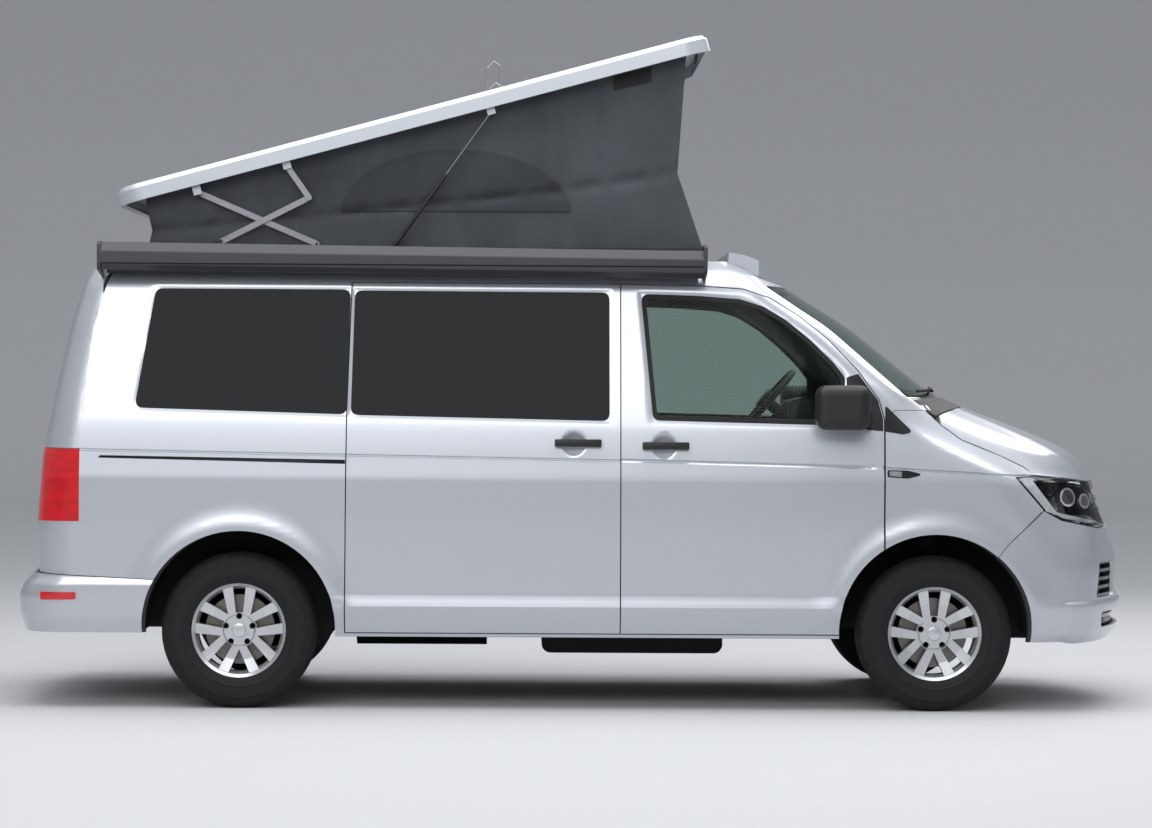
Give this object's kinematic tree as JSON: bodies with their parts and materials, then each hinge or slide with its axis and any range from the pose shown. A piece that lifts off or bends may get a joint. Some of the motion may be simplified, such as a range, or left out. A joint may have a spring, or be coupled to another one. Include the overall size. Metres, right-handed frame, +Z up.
{
  "type": "camper van",
  "caption": "Mid-size camper van with a raised pop-up sleeping roof, awning case, opening doors, tailgate and bonnet, steered front wheels and rolling wheels.",
  "frame": {"origin": "on the ground at mid length, on the van's centre plane", "axes": "+X forward along the van, +Y to its left, +Z up"},
  "size_m": [4.9038, 2.296, 2.9347],
  "materials": {
    "paint": "metallic silver, gloss",
    "roof_paint": "metallic silver, gloss",
    "black_trim": "fine grained",
    "grille_black": "gloss",
    "underbody": "coated",
    "tinted_glass": "privacy glass",
    "clear_glass": "green tint",
    "lamp_glass": "clear lens",
    "lamp_red": "red lens",
    "awning_grey": "anthracite satin",
    "alloy": "silver lacquer",
    "tyre": "matt",
    "steel": "machined",
    "cast": "rough",
    "arm_alloy": "satin",
    "bellows_cloth": "coated woven",
    "seat_cloth": "woven",
    "soft_trim": "grained",
    "cabinet": "laminate"
  },
  "bodies": {
    "body": {"body_shell": "paint", "floor_pan": "underbody", "wing_right": "paint", "wing_left": "paint", "sliding_door": "paint", "front_bumper": "paint", "grille": "grille_black", "rear_bumper": "paint", "headlamps": "lamp_glass", "door_seals": "black_trim", "tail_lamps": "lamp_red", "windscreen": "clear_glass", "side_glass": "tinted_glass", "roof_fairing": "roof_paint", "roof_frame": "black_trim", "awning_case": "awning_grey", "dashboard": "soft_trim", "front_seats": "seat_cloth", "rear_bench": "seat_cloth", "kitchen_unit": "cabinet", "engine_gearbox": "cast", "front_suspension": "cast", "rear_suspension": "cast", "fuel_tank": "underbody", "exhaust": "steel", "roof_bellows": "bellows_cloth"},
    "door_right": {"front_door_right": "paint", "door_glass_right": "clear_glass", "mirror_right": "black_trim"},
    "door_left": {"front_door_left": "paint", "door_glass_left": "clear_glass", "mirror_left": "black_trim"},
    "tailgate": {"tailgate": "paint", "tailgate_glass": "tinted_glass"},
    "bonnet": {"bonnet": "paint"},
    "lift_arms": {"roof_arms": "arm_alloy"},
    "raised_roof": {"pop_roof": "roof_paint"},
    "knee_lower": {"knee_arms_lower": "arm_alloy"},
    "knee_upper": {"knee_arms_upper": "arm_alloy"},
    "strut_tubes": {"gas_strut_tubes": "black_trim"},
    "strut_rods": {"gas_strut_rods": "steel"},
    "knuckle_right": {"knuckle_right": "cast"},
    "knuckle_left": {"knuckle_left": "cast"},
    "steering_wheel": {"steering_wheel": "soft_trim"},
    "wheel_front_right": {"rim_front_right": "alloy", "tyre_front_right": "tyre"},
    "wheel_front_left": {"rim_front_left": "alloy", "tyre_front_left": "tyre"},
    "wheel_rear_right": {"rim_rear_right": "alloy", "tyre_rear_right": "tyre"},
    "wheel_rear_left": {"rim_rear_left": "alloy", "tyre_rear_left": "tyre"}
  },
  "joints": [
    {"name": "front_door_right", "type": "hinge", "parent": "body", "child": "door_right", "pos_m": [1.3155, -0.953, 0.8], "axis": [0, 0, 1], "range_deg": [0, 68]},
    {"name": "front_door_left", "type": "hinge", "parent": "body", "child": "door_left", "pos_m": [1.3155, 0.953, 0.8], "axis": [0, 0, -1], "range_deg": [0, 68]},
    {"name": "tailgate", "type": "hinge", "parent": "body", "child": "tailgate", "pos_m": [-2.099, 0, 1.937], "axis": [0, 1, 0], "range_deg": [0, 85]},
    {"name": "bonnet", "type": "hinge", "parent": "body", "child": "bonnet", "pos_m": [1.535, 0, 1.271], "axis": [0, -1, 0], "range_deg": [0, 50]},
    {"name": "roof_lift", "type": "hinge", "parent": "body", "child": "lift_arms", "pos_m": [-1.144, 0, 2.01], "axis": [0, -1, 0], "range_deg": [0, 27], "deforming": ["roof_bellows"]},
    {"name": "roof_tilt", "type": "hinge", "parent": "lift_arms", "child": "raised_roof", "pos_m": [-1.663, 0, 2.231], "axis": [0, -1, 0], "range_deg": [-42.2, 0]},
    {"name": "knee_lower", "type": "hinge", "parent": "body", "child": "knee_lower", "pos_m": [-1.57, 0, 2.011], "axis": [0, -1, 0], "range_deg": [-29, 0]},
    {"name": "knee_upper", "type": "hinge", "parent": "knee_lower", "child": "knee_upper", "pos_m": [-1.178, 0, 2.211], "axis": [0, -1, 0], "range_deg": [0, 89.1]},
    {"name": "strut_swing", "type": "hinge", "parent": "body", "child": "strut_tubes", "pos_m": [-0.798, 0, 2.01], "axis": [0, -1, 0], "range_deg": [-58.3, 0]},
    {"name": "strut_slide", "type": "slide", "parent": "strut_tubes", "child": "strut_rods", "axis": [0.58, 0, 0.8146], "range_m": [-0.2925, 0]},
    {"name": "steer_left", "type": "hinge", "parent": "body", "child": "knuckle_left", "pos_m": [1.544, 0.714, 0.335], "axis": [0, 0, 1], "range_deg": [-35, 35]},
    {"name": "steer_right", "type": "hinge", "parent": "body", "child": "knuckle_right", "pos_m": [1.544, -0.714, 0.335], "axis": [0, 0, 1], "range_deg": [-35, 35]},
    {"name": "steering_wheel", "type": "hinge", "parent": "body", "child": "steering_wheel", "pos_m": [0.9, 0.4, 1.33], "axis": [-0.7547, 0, 0.6561], "range_deg": [-542.5, 542.5]},
    {"name": "wheel_front_right", "type": "hinge", "parent": "knuckle_right", "child": "wheel_front_right", "pos_m": [1.544, -0.814, 0.335], "axis": [0, 1, 0], "continuous": true},
    {"name": "wheel_front_left", "type": "hinge", "parent": "knuckle_left", "child": "wheel_front_left", "pos_m": [1.544, 0.814, 0.335], "axis": [0, 1, 0], "continuous": true},
    {"name": "wheel_rear_right", "type": "hinge", "parent": "body", "child": "wheel_rear_right", "pos_m": [-1.456, -0.814, 0.335], "axis": [0, 1, 0], "continuous": true},
    {"name": "wheel_rear_left", "type": "hinge", "parent": "body", "child": "wheel_rear_left", "pos_m": [-1.456, 0.814, 0.335], "axis": [0, 1, 0], "continuous": true}
  ],
  "couplings": [
    {"joint": "roof_tilt", "follows": "roof_lift", "ratio": -1.563},
    {"joint": "knee_lower", "follows": "roof_lift", "ratio": -1.0741},
    {"joint": "knee_upper", "follows": "roof_lift", "ratio": 3.3},
    {"joint": "strut_swing", "follows": "roof_lift", "ratio": -2.1593},
    {"joint": "strut_slide", "follows": "roof_lift", "m_per_rad": -0.6207},
    {"joint": "steer_right", "follows": "steer_left", "ratio": 1},
    {"joint": "steering_wheel", "follows": "steer_left", "ratio": 15.5}
  ]
}
